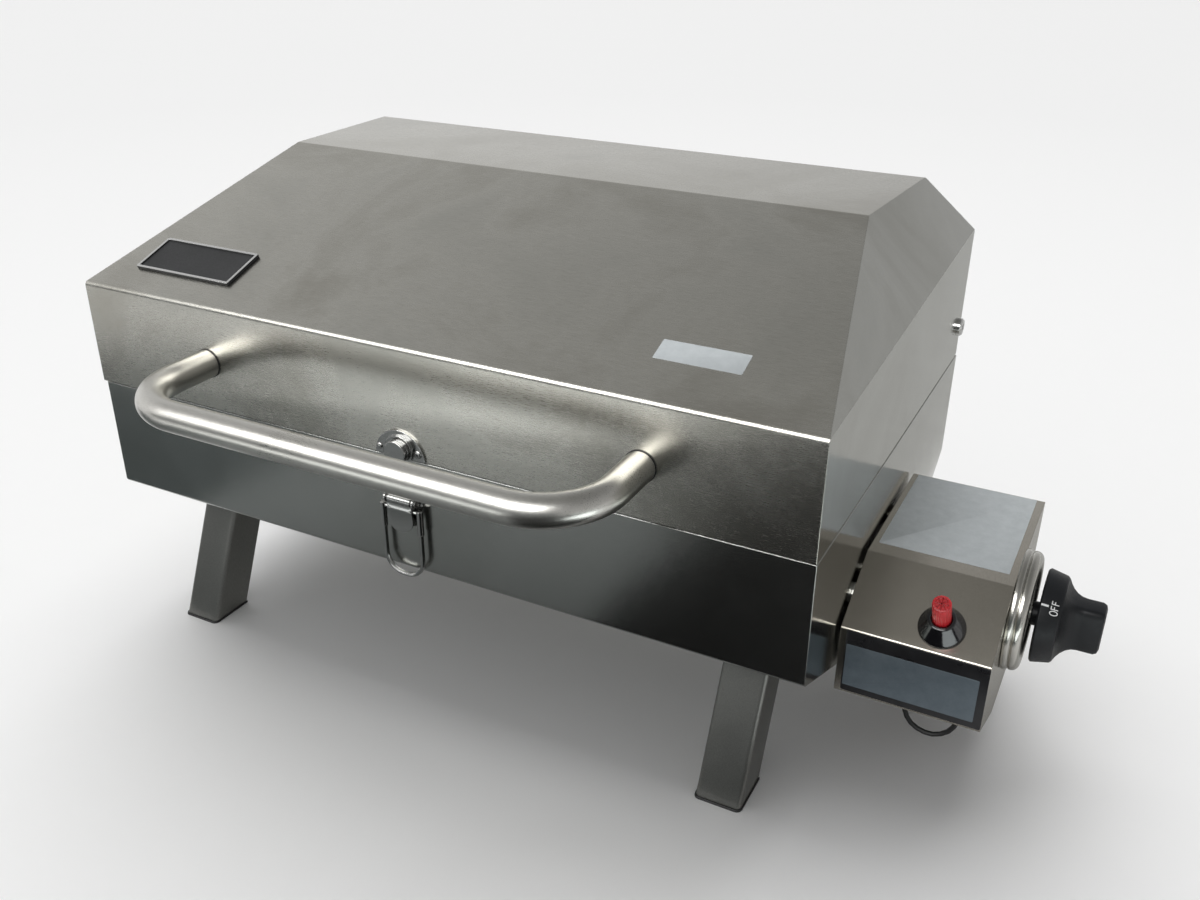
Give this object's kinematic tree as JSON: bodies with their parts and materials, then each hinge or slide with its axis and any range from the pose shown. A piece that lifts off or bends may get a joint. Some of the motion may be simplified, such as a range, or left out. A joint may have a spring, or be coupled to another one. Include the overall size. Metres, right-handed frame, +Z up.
{
  "type": "camping barbecue grill",
  "caption": "Portable gas barbecue with a folded steel lid, round handle, latch, side valve box with knob and igniter, and folding legs.",
  "frame": {"origin": "under the middle of the whole object's extents, on the floor plane", "axes": "+X along the front from the lid's left end to the knob, +Y to the hinge side, +Z up"},
  "size_m": [0.5582, 0.362, 0.2733],
  "materials": {
    "steel": "brushed stainless steel, satin",
    "polished_steel": "polished",
    "enamel": "vitreous enamel",
    "plate": "black plate with a bright border, blank",
    "black_plastic": "moulded",
    "red_plastic": "moulded",
    "brass": "machined",
    "ceramic": "glazed ceramic",
    "rubber": "matt"
  },
  "bodies": {
    "base": {"base_shell": "steel", "hinge_ear_left": "steel", "hinge_ear_right": "steel", "rack_left": "steel", "rack_right": "steel", "flame_tamer": "enamel", "burner": "steel", "burner_bracket": "steel", "electrode": "ceramic", "electrode_bracket": "steel", "ignition_lead": "rubber", "tray_rail_left": "steel", "tray_rail_right": "steel", "latch_base": "polished_steel", "latch_pin": "polished_steel", "control_box": "steel", "box_bolt_front": "steel", "box_bolt_rear": "steel", "gas_valve": "brass", "gas_inlet": "brass", "bezel_ring": "polished_steel", "igniter_bezel": "black_plastic", "igniter_body": "black_plastic", "leg_bracket_front_left": "steel", "leg_bracket_front_right": "steel", "leg_bracket_rear_left": "steel", "leg_bracket_rear_right": "steel"},
    "lid": {"lid_shell": "steel", "lid_handle": "steel", "handle_insert_left": "steel", "handle_insert_right": "steel", "handle_screw_left": "steel", "handle_screw_right": "steel", "lid_catch": "polished_steel", "name_plate": "plate", "hinge_screw_left": "polished_steel", "hinge_screw_right": "polished_steel"},
    "latch_lever_body": {"latch_lever": "polished_steel"},
    "latch_bail_body": {"latch_bail": "polished_steel"},
    "valve_core": {"valve_plug": "brass"},
    "knob": {"valve_spindle": "steel", "control_knob": "black_plastic"},
    "igniter_push": {"igniter_button": "red_plastic"},
    "grate": {"cooking_grate": "steel"},
    "tray": {"drip_tray": "steel"},
    "leg_body_front_left": {"leg_front_left": "steel", "leg_pin_front_left": "steel", "foot_cap_front_left": "rubber"},
    "leg_body_front_right": {"leg_front_right": "steel", "leg_pin_front_right": "steel", "foot_cap_front_right": "rubber"},
    "leg_body_rear_left": {"leg_rear_left": "steel", "leg_pin_rear_left": "steel", "foot_cap_rear_left": "rubber"},
    "leg_body_rear_right": {"leg_rear_right": "steel", "leg_pin_rear_right": "steel", "foot_cap_rear_right": "rubber"}
  },
  "joints": [
    {"name": "lid_hinge", "type": "hinge", "parent": "base", "child": "lid", "pos_m": [-0.05738, 0.16095, 0.1798], "axis": [-1, 0, 0], "range_deg": [0, 90]},
    {"name": "latch_lever_pivot", "type": "hinge", "parent": "base", "child": "latch_lever_body", "pos_m": [-0.06067, -0.11605, 0.1348], "axis": [-1, 0, 0], "range_deg": [0, 95]},
    {"name": "latch_bail_pivot", "type": "hinge", "parent": "latch_lever_body", "child": "latch_bail_body", "pos_m": [-0.06067, -0.11565, 0.1293], "axis": [-1, 0, 0], "range_deg": [0, 88]},
    {"name": "knob_turn", "type": "hinge", "parent": "base", "child": "valve_core", "pos_m": [0.23613, -0.00005, 0.0926], "axis": [1, 0, 0], "range_deg": [0, 210]},
    {"name": "knob_push", "type": "slide", "parent": "valve_core", "child": "knob", "axis": [-1, 0, 0], "range_m": [0, 0.003], "stiffness_N_per_m": 900},
    {"name": "igniter_button_push", "type": "slide", "parent": "base", "child": "igniter_push", "axis": [0, 0.5197, -0.8544], "range_m": [0, 0.0045], "stiffness_N_per_m": 2000},
    {"name": "tray_slide", "type": "slide", "parent": "base", "child": "tray", "axis": [0, -1, 0], "range_m": [0, 0.08]},
    {"name": "grate_lift", "type": "slide", "parent": "base", "child": "grate", "axis": [0, 0, 1], "range_m": [0, 0.05]},
    {"name": "leg_fold_front_left", "type": "hinge", "parent": "base", "child": "leg_body_front_left", "pos_m": [-0.23337, -0.06951, 0.05924], "axis": [1, 0, 0], "range_deg": [0, 88]},
    {"name": "leg_fold_front_right", "type": "hinge", "parent": "base", "child": "leg_body_front_right", "pos_m": [0.12162, -0.06951, 0.05924], "axis": [1, 0, 0], "range_deg": [0, 88]},
    {"name": "leg_fold_rear_left", "type": "hinge", "parent": "base", "child": "leg_body_rear_left", "pos_m": [-0.23337, 0.13362, 0.05593], "axis": [-1, 0, 0], "range_deg": [0, 88]},
    {"name": "leg_fold_rear_right", "type": "hinge", "parent": "base", "child": "leg_body_rear_right", "pos_m": [0.12162, 0.13362, 0.05593], "axis": [-1, 0, 0], "range_deg": [0, 88]}
  ]
}
